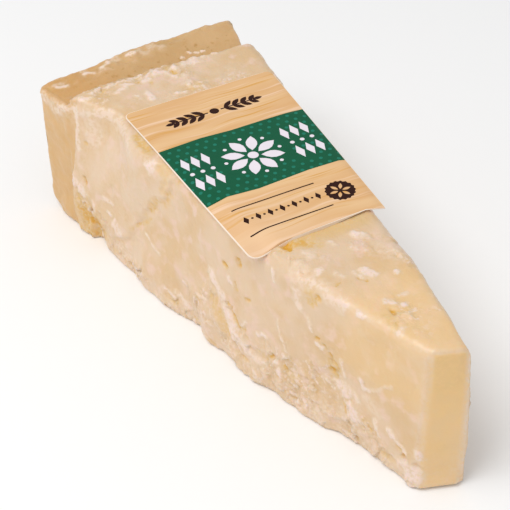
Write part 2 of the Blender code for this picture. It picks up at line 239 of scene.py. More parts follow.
# The label's colours
WOOD_TAN = "#dfb07c"
WOOD_PALE = "#e8c090"
WOOD_ROSY = "#eec9a6"
WOOD_OCHRE = "#d89f4c"
INK_GREEN = "#0e5f40"
INK_GREEN_DEEP = "#0b5238"
INK_TEAL = "#1f7c66"
INK_TEAL_DEEP = "#1b745f"
INK_WHITE = "#efe7ef"
INK_WHITE_THIN = "#e7dee7"
INK_BROWN = "#2a0c05"
INK_BROWN_THIN = "#331408"
PAPER_CORE = "#f8e8d9"
PAPER_CORE_FUZZ = "#f3e0cd"
WOOD, GREEN, TEAL, WHITE, BROWN, CORE = range(6)

# The printed wood sways in waves about this long. Its bands, rosy streaks, growth lines, and where
# those show: length and pitch in mm, detail, the noise at 0 and at 1, and how far they sway in mm
WOOD_SWAY = 24.0
WOOD_STREAKS = (
    (44.0, 6.0, 2.0, 0.36, 0.66, 5.0), (40.0, 1.9, 2.0, 0.54, 0.70, 6.0),
    (38.0, 0.9, 3.0, 0.53, 0.68, 6.0), (34.0, 7.0, 1.0, 0.40, 0.58, 5.0),
)

# The soft varnish over the whole print
VARNISH = {"Roughness": 0.50, "Specular IOR Level": 0.12, "Coat Weight": 0.05, "Coat Roughness": 0.30}

# Inputs and outputs of the colour mixing node, by their place
MIX_SHARE, MIX_A, MIX_B, MIX_OUT = 0, 6, 7, 2


# Small tools

def colour(hex_code):
    """An sRGB hex colour as the linear colour that a shader takes."""
    parts = [int(hex_code[at:at + 2], 16) / 255 for at in (1, 3, 5)]
    linear = [part / 12.92 if part <= 0.04045 else ((part + 0.055) / 1.055) ** 2.4 for part in parts]
    return (*linear, 1.0)


def feed(node, inputs):
    """Gives each input of a node a plain value, or another node's output."""
    for socket, value in inputs.items():
        if isinstance(value, bpy.types.NodeSocket):
            node.id_data.links.new(value, node.inputs[socket])
        else:
            node.inputs[socket].default_value = value


def add(tree, kind, inputs=None, **settings):
    """Adds a node with its settings, and feeds its inputs."""
    node = tree.nodes.new(kind)
    for name, value in settings.items():
        setattr(node, name, value)
    feed(node, inputs or {})
    return node


def ease(value, start, end):
    """0 before start, 1 after end, and a smooth S between them, for a number or an array."""
    share = np.clip((value - start) / (end - start), 0.0, 1.0)
    return share * share * (3.0 - 2.0 * share)


def fade(value, start, end):
    """1 before start, 0 after end, and a smooth S between them."""
    return 1.0 - ease(value, start, end)


def placed(name, data):
    """A new object of the scene, from its mesh, lamp or camera data."""
    item = bpy.data.objects.new(name, data)
    bpy.context.scene.collection.objects.link(item)
    return item


def modified_mesh(item):
    """The object's mesh as its modifiers make it."""
    depsgraph = bpy.context.evaluated_depsgraph_get()
    return bpy.data.meshes.new_from_object(item.evaluated_get(depsgraph))


def new_piece(name, mesh, materials, node=None):
    """A finished mesh as a piece of the object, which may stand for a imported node."""
    piece = placed(name, mesh)
    for material in materials:
        mesh.materials.append(material)
    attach(piece, "root")
    if node:
        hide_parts(node)
    return piece


def save_share(mesh, name, values):
    """Keeps one number for each point of the mesh, for its material to read."""
    attribute = mesh.attributes.new(name, "FLOAT", "POINT")
    attribute.data.foreach_set("value", values.astype(np.float32))


# The cheese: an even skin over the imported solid, then all that its breaking left on it

def even_skin():
    """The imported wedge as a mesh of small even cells, coarser where the photograph doesn't show it."""
    skin = placed("even_skin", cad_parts["wedge"].data.copy())
    cells = skin.modifiers.new("cells", "REMESH")
    cells.mode = "VOXEL"
    cells.voxel_size = SKIN_CELL * MM
    smooth = skin.modifiers.new("smooth", "SMOOTH")
    smooth.factor = 0.5
    smooth.iterations = SKIN_SMOOTHING
    skin.data = modified_mesh(skin)
    skin.modifiers.clear()

    points, normals = mesh_points(skin.data)
    under_label = label_share(points, 1.0) > 0.99
    foot, back, right = normals[:, 2] < -0.5, normals[:, 1] > 0.6, normals[:, 0] > 0.5
    hidden = foot | back | right | under_label
    coarse = skin.vertex_groups.new(name="coarse")
    coarse.add(np.nonzero(hidden)[0].tolist(), 1.0, "ADD")
    thin = skin.modifiers.new("thin", "DECIMATE")
    thin.vertex_group = "coarse"
    thin.ratio = SKIN_TRIANGLES / (2 * len(skin.data.polygons))
    mesh = modified_mesh(skin)
    bpy.data.objects.remove(skin)
    mesh.materials.clear()
    return mesh


def mesh_points(mesh):
    """Every point of a mesh in millimetres and its normal, as two arrays."""
    points = np.empty(len(mesh.vertices) * 3)
    mesh.vertices.foreach_get("co", points)
    normals = np.empty(len(mesh.vertices) * 3)
    mesh.vertex_normals.foreach_get("vector", normals)
    return points.reshape(-1, 3) / MM, normals.reshape(-1, 3)


def grain(points, size, seed, octaves=3):
    """Fractal noise at each point, about -1 to 1. Its coarsest grain has this size."""
    shift = Vector((seed * 7.31, seed * -3.17, seed * 5.53))
    return np.array([noise.fractal(Vector(point) / size + shift, 1.0, 2.1, octaves) for point in points])


def gap_to(u, v, start, end):
    """How far each point is from a straight stretch, and how far to the left of its line."""
    du, dv = end[0] - start[0], end[1] - start[1]
    long = max(math.hypot(du, dv), 1e-9)
    share = np.clip(((u - start[0]) * du + (v - start[1]) * dv) / long ** 2, 0.0, 1.0)
    gap = np.hypot(u - start[0] - share * du, v - start[1] - share * dv)
    return gap, (du * (v - start[1]) - dv * (u - start[0])) / long


def past_line(u, v, path):
    """How far each point is past a broken line: above 0 to its left, below 0 to its right."""
    nearest = np.full(u.shape, np.inf)
    side = np.ones(u.shape)
    for start, end in zip(path, path[1:]):
        gap, left = gap_to(u, v, start, end)
        side = np.where(gap < nearest, np.sign(left), side)
        nearest = np.minimum(nearest, gap)
    return nearest * side


def marks(u, v, table, ragged):
    """The marks of a table at each point: 0 beside them, and up to their strength on them."""
    strongest = np.zeros(u.shape)
    for u0, v0, u1, v1, reach, strength in table:
        gap, _ = gap_to(u, v, (u0, v0), (u1, v1))
        share = fade(gap / reach + ragged, 0.25, 1.30)
        strongest = np.maximum(strongest, strength * share)
    return strongest


def spread(values, edges, rounds):
    """Averages each point's value with its neighbours', several times over."""
    count = len(values)
    shared = np.bincount(edges.ravel(), minlength=count)
    for _ in range(rounds):
        total = np.bincount(edges[:, 0], values[edges[:, 1]], count)
        total += np.bincount(edges[:, 1], values[edges[:, 0]], count)
        values = 0.5 * values + 0.5 * total / shared
    return values


def lumps(points, size, seed):
    """Rounded crumbs packed side by side: 0 in the gaps between them and up to 1 on the tallest."""
    shift = Vector((seed * 3.7, seed * 1.9, seed * -2.3))
    heights = np.empty(len(points))
    for at, point in enumerate(points):
        place = Vector(point) / size + shift
        distances, centres = noise.voronoi(place)
        tall = 0.55 + 0.45 * noise.cell(centres[0] * 9.1)
        heights[at] = tall * min((distances[1] - distances[0]) * 1.6, 1.0)
    return heights


def facets(points, size, seed):
    """The heights of flat facets of this size, each tilted its own way, as broken paste has."""
    shift = Vector((seed * 2.9, seed * -4.1, seed * 1.3))
    middle = Vector((0.5, 0.5, 0.5))
    heights = np.empty(len(points))
    for at, point in enumerate(points):
        place = Vector(point) / size + shift
        centre = noise.voronoi(place)[1][0]
        tilt = noise.cell_vector(centre * 11.3) - middle
        heights[at] = (place - centre).dot(tilt)
    return heights * size


def terraces(height, step, riser):
    """Turns a smooth slope into flat treads and short risers, as a brittle paste breaks."""
    level = height / step
    tread = np.floor(level)
    return step * (tread + ease(level - tread, 0.5 - riser, 0.5 + riser))


def direction(start, end):
    """The way from start to end, and the way straight to the left of it."""
    along = (end - start).normalized()
    return np.array(along), np.array((-along.y, along.x))


class Face:
    """A broken side of the wedge: how far along it and up each point is, and how much it belongs to it."""

    def __init__(self, points, normals, start, end, outward):
        line, across = direction(start, end)
        out = across * outward
        offset = points[:, :2] - np.array(start)
        self.along = offset @ line
        self.out = offset @ out
        self.up = points[:, 2]
        self.lean = normals[:, :2] @ out
        self.share = ease(self.lean, 0.35, 0.8)


def label_place(points):
    """How far from the label's back edge each point lies along it, and how far right of its middle."""
    right_way = np.array((math.cos(LABEL_TURN), math.sin(LABEL_TURN)))
    nose_way = np.array((right_way[1], -right_way[0]))
    offset = points[:, :2] - np.array(NOSE_AT + LABEL_MIDDLE)
    return offset @ nose_way + LABEL_LENGTH / 2, offset @ right_way


def label_share(points, margin):
    """1 for the points of the top that lie under the label, 0 beyond the margin round it."""
    along, across = label_place(points)
    half = np.interp(along, (0.0, LABEL_LENGTH), (LABEL_BACK_WIDTH / 2, LABEL_FRONT_WIDTH / 2))
    past = np.maximum.reduce((-along, along - LABEL_LENGTH, np.abs(across) - half))
    return fade(past, 0.0, margin) * ease(points[:, 2], TOP - 20, TOP - 10)


class Shell:
    """Where each point of the cheese lies, and how much it belongs to each face and to the rind."""

    def __init__(self, points, normals):
        self.points = points
        self.x, self.y, self.up = points.T
        self.left = Face(points, normals, LEFT_NOSE, LEFT_BACK, 1.0)
        self.right = Face(points, normals, RIGHT_NOSE, RIGHT_BACK, -1.0)
        self.foot = ease(-normals[:, 2], 0.5, 0.9)
        self.top = ease(normals[:, 2], 0.45, 0.85)
        self.covered = label_share(points, 1.5)
        self.wobble = grain(points, 7, seed=3)
        self.slow = grain(points, 16, seed=5)
        self.ragged = grain(points, 1.9, seed=37)
        self.warp_u = 1.1 * grain(points, 5, seed=11)
        self.warp_v = 1.1 * grain(points, 5, seed=23)

        # The rind begins at its step on the top, and a little further forward on the left face
        on_top = self.y - RIND_FROM - RIND_SLOPE * self.x
        on_left = self.left.along - np.interp(self.up, *zip(*LEFT_PASTE_END))
        self.to_rind = on_top + (on_left - on_top) * self.left.share * (1.0 - self.top)
        torn = 0.5 * self.wobble + 0.3 * self.ragged
        self.rind = ease(self.to_rind + torn, -0.4, 0.5)
        self.paste = 1.0 - self.rind
        self.left_paste = self.left.share * self.paste
        self.top_paste = self.top * self.paste
        self.side = np.maximum(self.left.share, self.right.share) * (1.0 - self.top)
        outward = np.maximum(self.left.lean, normals[:, 1])
        self.rim = self.rind * ease(np.minimum(outward, normals[:, 2]), 0.20, 0.60)

        # The cut nose, and the rounded edges near it, along which a highlight is painted paler
        nose_lean = normals[:, :2] @ np.array((math.sin(NOSE_TURN), -math.cos(NOSE_TURN)))
        self.nose = ease(nose_lean, 0.80, 0.97) * ease(-self.y, 70, 80)
        nose_way = np.array((math.cos(NOSE_TURN), math.sin(NOSE_TURN)))
        self.nose_across = (points[:, :2] - np.array(NOSE_AT)) @ nose_way
        self.edge = np.maximum.reduce((
            ease(np.minimum(normals[:, 2], self.left.lean), 0.15, 0.55),
            ease(np.minimum(normals[:, 2], nose_lean), 0.15, 0.55),
            ease(np.minimum(self.right.lean, nose_lean), 0.10, 0.50),
            ease(np.minimum(self.left.lean, nose_lean), 0.62, 0.80),
        ))
        self.edge *= fade(self.left.along, 34, 52)

    def crumbly(self):
        """Where the paste broke into crumbs, against where it came away smooth."""
        line = np.interp(self.left.along, *zip(*CRUMBLE_LINE))
        share = self.left.share * fade(self.up - line + 5 * self.wobble, -3, 3)
        on_right = self.right.share * (1.0 - 0.85 * ease(self.up, 32, 44))
        share = np.maximum(share, on_right * ease(self.slow + 0.5 * self.wobble, -0.15, 0.35))
        by_rind = ease(self.to_rind + 2 * self.wobble, -5.5, -1.5)
        share = np.maximum(share, 0.7 * self.top * by_rind * fade(self.x, 10, 20))
        share = np.maximum(share, 0.55 * self.top * ease(self.slow + 0.6 * self.wobble, 0.10, 0.5))
        patchy = 0.35 + 0.65 * ease(grain(self.points, 8, seed=29), -0.25, 0.35)
        return share * patchy * self.paste * (1.0 - self.foot) * (1.0 - 0.8 * self.nose)


def broken_paste(shell, crumbly):
    """The relief that breaking left all over the paste: flat treads, tilted facets and crumbs on them."""
    points = shell.points
    swell = 0.45 * shell.slow
    slope = 0.9 * (grain(points, 9, seed=7, octaves=4) + 1.5)
    treads = terraces(slope, 0.55, 0.22) - 1.35
    bent = points + 0.9 * np.stack((shell.warp_u, shell.warp_v, shell.warp_u - shell.warp_v), axis=1)
    broken = 0.9 * facets(bent, 5.5, seed=4) + 0.9 * facets(bent, 2.6, seed=8)
    crumbs = lumps(bent, 1.8, seed=6) - 0.4
    relief = swell + 0.55 * treads * (0.25 + 0.75 * crumbly) + (0.05 + 0.32 * crumbly) * broken
    return shell.paste * (1.0 - shell.foot) * (1.0 - shell.nose) * relief + crumbly * 0.26 * crumbs


class Skin:
    """What each point of the cheese is given: how far it stands out, and how pale and ochre it is."""

    def __init__(self, relief):
        self.relief = relief
        self.pale = np.zeros_like(relief)
        self.ochre = np.zeros_like(relief)


def proud_patch(shell, skin):
    """The left face's pale patch stands proud behind a ragged edge, with thin ochre paste and painted shade
    beside it.
    """
    past = past_line(shell.left.along + shell.warp_u, shell.up + shell.warp_v, PATCH_EDGE)
    past += 0.3 * shell.ragged
    patch = shell.left_paste * ease(past, -1.0, 1.6) * ease(shell.up, 4, 12)
    beside = shell.left_paste * fade(np.abs(past + 1.2), 0.0, 2.6)
    skin.relief += 0.60 * patch - 0.20 * beside
    # The patch is paler, and low on the left face the paste is painted paler too: painted light against the
    # shade near the foot
    skin.pale += 0.16 * patch + 0.20 * shell.left_paste * fade(shell.up, 4, 18)
    blotchy = ease(shell.wobble + shell.ragged, -0.3, 0.5)
    # Ochre beside the patch's edge: partly thin ochre paste, partly painted shade below the edge
    skin.ochre += 0.42 * beside * ease(shell.up, 12, 26) * blotchy


def flakes_and_pits(shell, skin):
    """Flakes and crumbs, pits and cracks, each where its table says, with ragged edges."""
    on_left = (shell.left.along + 0.5 * shell.warp_u, shell.up + 0.5 * shell.warp_v)
    on_top = (shell.x + 0.5 * shell.warp_u, shell.y + 0.5 * shell.warp_v)
    flakes, pits = [
        shell.left.share * marks(*on_left, left_table, 0.60 * shell.ragged)
        + shell.top * marks(*on_top, top_table, 0.60 * shell.ragged)
        for left_table, top_table in ((LEFT_FLAKES, TOP_FLAKES), (LEFT_PITS, TOP_PITS))
    ]
    skin.relief += 0.42 * flakes - pits
    skin.pale += flakes
    skin.ochre += 0.38 * ease(pits, 0.0, 0.1) + 0.42 * ease(pits, 0.1, 1.1)


def flaked_by_rind(shell, skin):
    """On top, along the rind, the paste has flaked, white where it lifted, and shrunk off the step."""
    by_rind = shell.top_paste * ease(shell.to_rind, -5, -1.5) * fade(shell.x, 12, 20)
    lifted = by_rind * ease(grain(shell.points, 3.0, seed=41), 0.0, 0.3)
    skin.relief += 0.45 * lifted
    skin.pale += 0.55 * lifted
    shrunk = ease(shell.to_rind, -1.4, 0.2) * ease(shell.wobble, -0.3, 0.4)
    skin.relief -= 0.8 * shell.top_paste * shrunk


def waxy_rind(shell, skin):
    """The rind is waxy and nearly smooth, scalloped along its outer edge and crisp along its top edges."""
    waxy = 0.12 * grain(shell.points * (0.6, 1.0, 1.0), 3, seed=13)
    waxy += 0.35 * shell.wobble * (1.0 - shell.foot)
    outer = ease(shell.y, 82, 87) * ease(shell.up, 38, 46)
    scallops = 0.7 * grain(shell.points, 5, seed=43) * outer
    right_end = ease(shell.right.lean, 0.2, 0.7) * ease(shell.up, 30, 48)
    skin.relief += shell.rind * (waxy + scallops - 1.9 * right_end) + 0.8 * shell.rim
    left_end = shell.left.share * ease(shell.up, 34, 46) * (0.7 + 0.6 * shell.wobble)
    # Painted highlight: pale spots along the rind's outer top edge
    rim_highlight_spots = outer * ease(grain(shell.points, 4, seed=47, octaves=2), 0.05, 0.4)
    skin.pale += shell.rind * (0.22 * left_end + 0.32 * rim_highlight_spots)


def dried_foot(shell, skin):
    """Low on the left face, the paste beside the rind has dried as dark as ochre wax."""
    by_foot = shell.left_paste * fade(shell.up, 8, 24) * ease(shell.left.along, 139, 150)
    skin.ochre += 0.50 * by_foot * (0.9 + 0.5 * shell.wobble)
    skin.pale -= 0.40 * by_foot


def cut_nose(shell, skin):
    """The nose was cut with a knife: only slow waves, a painted highlight round its edges, and a painted
    pale sheen along its right.
    """
    up, across, behind = shell.up, shell.nose_across, shell.right.along
    swollen_foot = fade(up, 1, 9) * fade(across, 3, 5.5)
    waves = grain(shell.points, 6, seed=17, octaves=2)
    skin.relief += shell.nose * (0.10 * waves + swollen_foot)
    # A painted highlight along the rounded edges
    skin.pale += 0.28 * shell.edge * (0.75 + 0.5 * shell.wobble)
    # A painted sheen: a pale strip along the nose's right edge
    right_strip = shell.nose * ease(across, 2.6, 5.2)
    skin.pale += 0.58 * right_strip * (0.85 + 0.5 * shell.wobble)
    high = shell.nose * ease(up, 28, 42) * (1.0 - right_strip)
    skin.ochre += 0.12 * high * (1.0 + shell.wobble)

    # Broken off low on the right, and worn back higher up and at the top corner
    low_right = fade(up, 8, 15) * fade(behind, 5, 18)
    high_right = ease(up, 24, 44) * fade(behind, 4, 20)
    top_corner = ease(across, 1, 6) * ease(up, 38, 50) * fade(behind, 3, 15)
    skin.relief -= shell.right.share * (1.7 * low_right + 0.9 * high_right)
    skin.relief -= 1.1 * top_corner


def shade_by_label(shell, skin):
    """Painted shadow: the paste is coloured deeper ochre where the label's front edge shades it."""
    along, across = label_place(shell.points)
    shaded = shell.top * ease(along, 72, 79) * fade(along, 80, 85)
    shaded *= ease(across, -16, -8) * fade(across, 10, 20)
    skin.ochre += 0.46 * shaded * (0.9 + 0.3 * shell.wobble)


def warmth(shell):
    """Warmer where the knife pressed the paste smooth, near the nose, and on top of the rind's left end."""
    nose = shell.nose * (0.70 + 0.30 * ease(shell.up, 14, 40) + 0.25 * shell.wobble)
    top = 0.5 * shell.top * ease(-shell.y, 44, 62)
    left = fade(shell.left.along, 22, 38) * ease(shell.up, 22, 34)
    paste = np.maximum.reduce((nose, top, 0.42 * shell.left.share * left)) * shell.paste
    return paste + shell.rind * shell.top * fade(shell.x, -26, -4)


def cheese_skin(shell, crumbly):
    """All that breaking, cutting and drying did to the even skin, one part after another."""
    skin = Skin(broken_paste(shell, crumbly))
    for part in (
        proud_patch, flakes_and_pits, flaked_by_rind, waxy_rind, dried_foot, cut_nose, shade_by_label,
    ):
        part(shell, skin)

    # Nothing stands up into the label, and the foot is flat where it rests
    most = 0.08 + (1.0 - shell.covered) * 1.5
    clear = np.where(shell.covered > 0.0, np.minimum(skin.relief, most), skin.relief)
    skin.relief = clear * (1.0 - 0.9 * shell.foot)
    return skin


def build_cheese(paste_material):
    """The cheese as one piece, with what its material reads kept at each point."""
    mesh = even_skin()
    points, normals = mesh_points(mesh)
    edges = np.empty(len(mesh.edges) * 2, np.int64)
    mesh.edges.foreach_get("vertices", edges)
    edges = edges.reshape(-1, 2)

    shell = Shell(points, normals)
    crumbly = shell.crumbly()
    skin = cheese_skin(shell, crumbly)
    moved = points + normals * skin.relief[:, None]
    moved += foot_shift(points, shell.left)
    moved[:, 2] = np.clip(moved[:, 2], 0.0, None)
    mesh.vertices.foreach_set("co", (moved * MM).astype(np.float32).ravel())

    # Crests are made paler, and hollows ochre: partly the paste's own colour, partly painted shade
    proud = (skin.relief - spread(skin.relief, edges, CREST_ROUNDS)) * (1.0 - shell.covered)
    looks = {
        "rind": shell.rind,
        "pale": skin.pale + (0.5 + 1.3 * crumbly) * np.clip(proud - 0.02, 0.0, None),
        "ochre": skin.ochre + (0.6 + 1.0 * crumbly) * np.clip(-proud - 0.05, 0.0, None),
        "crumbly": crumbly,
        "warm": warmth(shell),
        "side": shell.side,
    }
    for name, values in looks.items():
        save_share(mesh, name, np.clip(values, 0.0, 1.0))
    mesh.shade_smooth()
    mesh.update()
    return new_piece("cheese", mesh, [paste_material], node="wedge")


def foot_shift(points, left):
    """Moves the left face's foot in and out to the line that it broke along."""
    near_foot = (left.up < 4) & (left.share > 0.5)
    along, out = left.along[near_foot], left.out[near_foot]
    starts = np.arange(0.0, 178, 2)
    which = np.digitize(along, starts)
    filled = np.unique(which)
    reach = np.array([out[which == at].max() for at in filled])
    now = np.interp(left.along, (filled - 0.5) * 2, reach)
    wanted = np.interp(left.along, *zip(*FOOT_LINE))
    share = ease(left.out, -6, 0.0) * fade(points[:, 2], 2, 16)
    share *= ease(left.along, -2, 2) * fade(left.along, 168, 174)
    _, across = direction(LEFT_NOSE, LEFT_BACK)
    shift = np.zeros_like(points)
    shift[:, :2] = across * ((wanted - now) * share)[:, None]
    return shift


# Materials

def shader_of(name):
    """A new material, its node tree and the shader in it."""
    material = bpy.data.materials.new(name)
    material.use_nodes = True
    return material, material.node_tree, material.node_tree.nodes["Principled BSDF"]


def painted(tree, ground, coats):
    """Coats of colour over a ground, each as thick as its share says."""
    for share, coat in coats:
        below, above = [colour(each) if isinstance(each, str) else each for each in (ground, coat)]
        mix = add(tree, "ShaderNodeMix", {MIX_SHARE: share, MIX_A: below, MIX_B: above}, data_type="RGBA")
        ground = mix.outputs[MIX_OUT]
    return ground


def clouds(tree, place, sizes):
    """Cloudy shares over a surface. For each: how large in mm, how detailed, and its noise at 0 and at 1."""
    shares = []
    for size_mm, detail, low, high in sizes:
        inputs = {"Vector": place, "Scale": 1.0 / (size_mm * MM), "Detail": detail}
        source = add(tree, "ShaderNodeTexNoise", inputs)
        inputs = {"Value": source.outputs["Fac"], "From Min": low, "From Max": high}
        stretched = add(tree, "ShaderNodeMapRange", inputs, interpolation_type="SMOOTHSTEP")
        shares.append(stretched.outputs["Result"])
    return shares


def cheese_paste():
    """Aged hard cheese, broken by hand: a translucent, faintly oily paste, rosy white where it crumbled and
    ochre in its pits and cracks. Its dried rind is tan, smoother and waxier."""
    material, tree, shader = shader_of("cheese_paste")
    place = add(tree, "ShaderNodeTexCoord").outputs["Object"]
    rind, pale, ochre, crumbly, warm, side = [
        add(tree, "ShaderNodeAttribute", attribute_name=name).outputs["Fac"]
        for name in ("rind", "pale", "ochre", "crumbly", "warm", "side")
    ]

    # The paste's colour drifts over 14 and 5 mm, the rind's over 11 mm with spots of 2 mm. Crumbs and
    # pores are 1.6 and 2 mm, and pale and ochre marks fray over 1.1 mm
    depth, rosy, rind_clouds, rind_spots, flecks, dimples, broken = clouds(tree, place, (
        (14.0, 2.0, 0.38, 0.62), (5.0, 3.0, 0.50, 0.72), (11.0, 3.0, 0.35, 0.70), (2.2, 2.0, 0.58, 0.75),
        (1.6, 3.0, 0.53, 0.64), (2.0, 3.0, 0.55, 0.66), (1.1, 3.0, 0.32, 0.56),
    ))
    ragged = add(tree, "ShaderNodeMapRange", {"Value": broken, "To Min": 0.45, "To Max": 1.1})
    pale, ochre = [
        add(tree, "ShaderNodeMath", {0: share, 1: ragged.outputs[0]}, operation="MULTIPLY").outputs[0]
        for share in (pale, ochre)
    ]

    # How thick each coat lies: where its share starts and ends, and its thickest
    shares = {}
    for name, value, low, high, most in (
        ("some_pale", pale, 0.0, 0.55, 1.0), ("all_pale", pale, 0.40, 1.05, 1.0),
        ("some_ochre", ochre, 0.0, 0.55, 1.0), ("all_ochre", ochre, 0.45, 1.0, 1.0),
        ("most_crumbly", crumbly, 0.0, 0.6, 0.75), ("half_crumbly", crumbly, 0.0, 0.6, 0.65),
        ("rough", crumbly, 0.0, 1.0, 0.15), ("grain_depth", crumbly, 0.0, 1.0, 0.32 * MM),
    ):
        inputs = {"Value": value, "From Min": low, "From Max": high, "To Max": most}
        shares[name] = add(tree, "ShaderNodeMapRange", inputs).outputs["Result"]
    crumbs, pores, half_warm, most_side = [
        add(tree, "ShaderNodeMath", {0: share, 1: part}, operation="MULTIPLY").outputs[0]
        for share, part in (
            (flecks, shares["most_crumbly"]), (dimples, shares["half_crumbly"]), (warm, 0.6), (side, 0.85),
        )
    ]

    paste = painted(tree, PASTE_DEEP, ((depth, PASTE_BODY), (rosy, PASTE_ROSY), (warm, PASTE_WARM)))
    rind_skin = painted(tree, RIND_BODY, (
        (rind_clouds, RIND_PALE), (rind_spots, RIND_DARK), (half_warm, RIND_ORANGE), (most_side, RIND_SIDE),
    ))
    skin = painted(tree, paste, (
        (pores, PASTE_STRAW), (crumbs, PASTE_WHITE), (rind, rind_skin),
        (shares["some_ochre"], PASTE_STRAW), (shares["all_ochre"], PASTE_OCHRE),
        (shares["some_pale"], PASTE_PALE), (shares["all_pale"], PASTE_WHITE),
    ))

    # Relief too fine for the mesh: the grains of the paste, deeper where it is crumbly
    grains = add(tree, "ShaderNodeTexNoise", {"Vector": place, "Scale": 1.0 / (0.9 * MM), "Detail": 3.0})
    deep = add(tree, "ShaderNodeMath", {0: shares["grain_depth"], 1: LEAST_GRAIN * MM}, operation="ADD")
    height = add(tree, "ShaderNodeMath", {0: grains.outputs[0], 1: deep.outputs[0]}, operation="MULTIPLY")
    bump = add(tree, "ShaderNodeBump", {"Height": height.outputs[0], "Strength": 1.0, "Distance": 1.0})
    roughness = add(tree, "ShaderNodeMath", {0: shares["rough"], 1: 0.40}, operation="ADD")
    feed(shader, {
        "Base Color": skin, "Normal": bump.outputs["Normal"], "Roughness": roughness.outputs[0], "IOR": 1.45,
        "Subsurface Weight": 0.30, "Subsurface Radius": (1.0, 0.62, 0.36), "Subsurface Scale": 1.4 * MM,
        "Coat Weight": 0.25, "Coat Roughness": 0.28,
    })
    return material


def wood_print():
    """Coated paper printed like planed pale wood: fine ochre growth lines and rosy ones between them run
    across it, slightly wavy, over slow bands of paler and deeper tan, under a soft varnish."""
    material, tree, shader = shader_of("label_wood_print")
    flat = add(tree, "ShaderNodeAttribute", attribute_name="flat").outputs["Vector"]
    sway = add(tree, "ShaderNodeTexNoise", {"Vector": flat, "Scale": 1.0 / (WOOD_SWAY * MM), "Detail": 1.0})
    shares = []
    for across_mm, along_mm, detail, low, high, sway_mm in WOOD_STREAKS:
        lift = add(tree, "ShaderNodeMath", {0: sway.outputs["Fac"], 1: sway_mm * MM}, operation="MULTIPLY")
        shift = add(tree, "ShaderNodeCombineXYZ", {"Y": lift.outputs[0]})
        swayed = add(tree, "ShaderNodeVectorMath", {0: flat, 1: shift.outputs[0]}, operation="ADD")
        stretch = (1.0 / (across_mm * MM), 1.0 / (along_mm * MM), 1.0)
        drawn = add(tree, "ShaderNodeVectorMath", {0: swayed.outputs[0], 1: stretch}, operation="MULTIPLY")
        inputs = {"Vector": drawn.outputs[0], "Scale": 1.0, "Detail": detail}
        source = add(tree, "ShaderNodeTexNoise", inputs)
        inputs = {"Value": source.outputs["Fac"], "From Min": low, "From Max": high}
        stretched = add(tree, "ShaderNodeMapRange", inputs, interpolation_type="SMOOTHSTEP")
        shares.append(stretched.outputs["Result"])
    bands, rosy, growth, where = shares

    # Painted highlight: the print is paler towards its front left corner, where the bent paper catches the
    # light
    place = add(tree, "ShaderNodeSeparateXYZ", {"Vector": flat})
    front, left = [
        add(tree, "ShaderNodeMapRange", inputs).outputs["Result"] for inputs in (
            {"Value": place.outputs["Y"], "From Min": 56 * MM, "From Max": 78 * MM},
            {"Value": place.outputs["X"], "From Min": 8 * MM, "From Max": -16 * MM, "To Max": 0.6},
        )
    ]
    lines, front_left_sheen = [
        add(tree, "ShaderNodeMath", {0: share, 1: part}, operation="MULTIPLY").outputs[0]
        for share, part in ((growth, where), (front, left))
    ]
    wood = painted(tree, WOOD_TAN, (
        (bands, WOOD_PALE), (rosy, WOOD_ROSY), (lines, WOOD_OCHRE), (front_left_sheen, WOOD_ROSY),
    ))
    feed(shader, {"Base Color": wood, **VARNISH})
    return material


def flat_ink(name, main, other, size_mm):
    """One printed ink: an even flat colour that the press laid down very slightly unevenly."""
    material, tree, shader = shader_of(name)
    flat = add(tree, "ShaderNodeAttribute", attribute_name="flat").outputs["Vector"]
    cloud = add(tree, "ShaderNodeTexNoise", {"Vector": flat, "Scale": 1.0 / (size_mm * MM), "Detail": 3.0})
    feed(shader, {"Base Color": painted(tree, main, ((cloud.outputs["Fac"], other),)), **VARNISH})
    return material


# The label: a sheet bent over both shoulders, its print cut into it as flat shapes

def way(turn):
    """The direction that is turned this far from straight across."""
    return Vector((math.cos(turn), math.sin(turn)))


def disc(at, radius, sides, scallop=0.0):
    """A round shape. With a scallop, every other point is drawn in by that share of the radius."""
    points = []
    for step in range(sides):
        turn = 2 * math.pi * step / sides
        reach = radius * (1.0 - scallop * (step % 2))
        points.append((at[0] + reach * math.cos(turn), at[1] + reach * math.sin(turn)))
    return points


def leaf(at, heading, length, width, sides=5):
    """A pointed oval that starts at a place and heads away from it."""
    line = way(heading)
    across = Vector((-line.y, line.x))
    steps = [step / sides for step in range(sides + 1)]
    edge = [(step * length, math.sin(math.pi * step) ** 0.9 * width / 2) for step in steps]
    there = [Vector(at) + line * along + across * out for along, out in edge]
    back = [Vector(at) + line * along - across * out for along, out in reversed(edge[1:-1])]
    return [tuple(point) for point in there + back]


def lozenge(at, half_wide, half_long):
    """A diamond with its points across and along the label."""
    x, y = at
    return [(x - half_wide, y), (x, y - half_long), (x + half_wide, y), (x, y + half_long)]


def rule(start, end, width):
    """A straight printed line, with a point about every millimetre so that it bends with the paper."""
    start, end = Vector(start), Vector(end)
    across = (end - start).normalized().orthogonal() * width / 2
    steps = math.ceil((end - start).length)
    middle = [start.lerp(end, step / steps) for step in range(steps + 1)]
    edge = [place + across for place in middle] + [place - across for place in reversed(middle)]
    return [tuple(place) for place in edge]


def rounded(corners, radii, steps=5):
    """A shape with straight sides and a rounded corner of its own radius at each point."""
    points = []
    for at, corner in enumerate(corners):
        corner = Vector(corner)
        before = (Vector(corners[at - 1]) - corner).normalized()
        after = (Vector(corners[(at + 1) % len(corners)]) - corner).normalized()
        half = before.angle(after) / 2
        tangent = radii[at] / math.tan(half)
        start, end = corner + before * tangent, corner + after * tangent
        for step in range(steps + 1):
            share = step / steps
            pulled = start * (1 - share) ** 2 + corner * 2 * share * (1 - share) + end * share ** 2
            points.append(tuple(pulled))
    return points


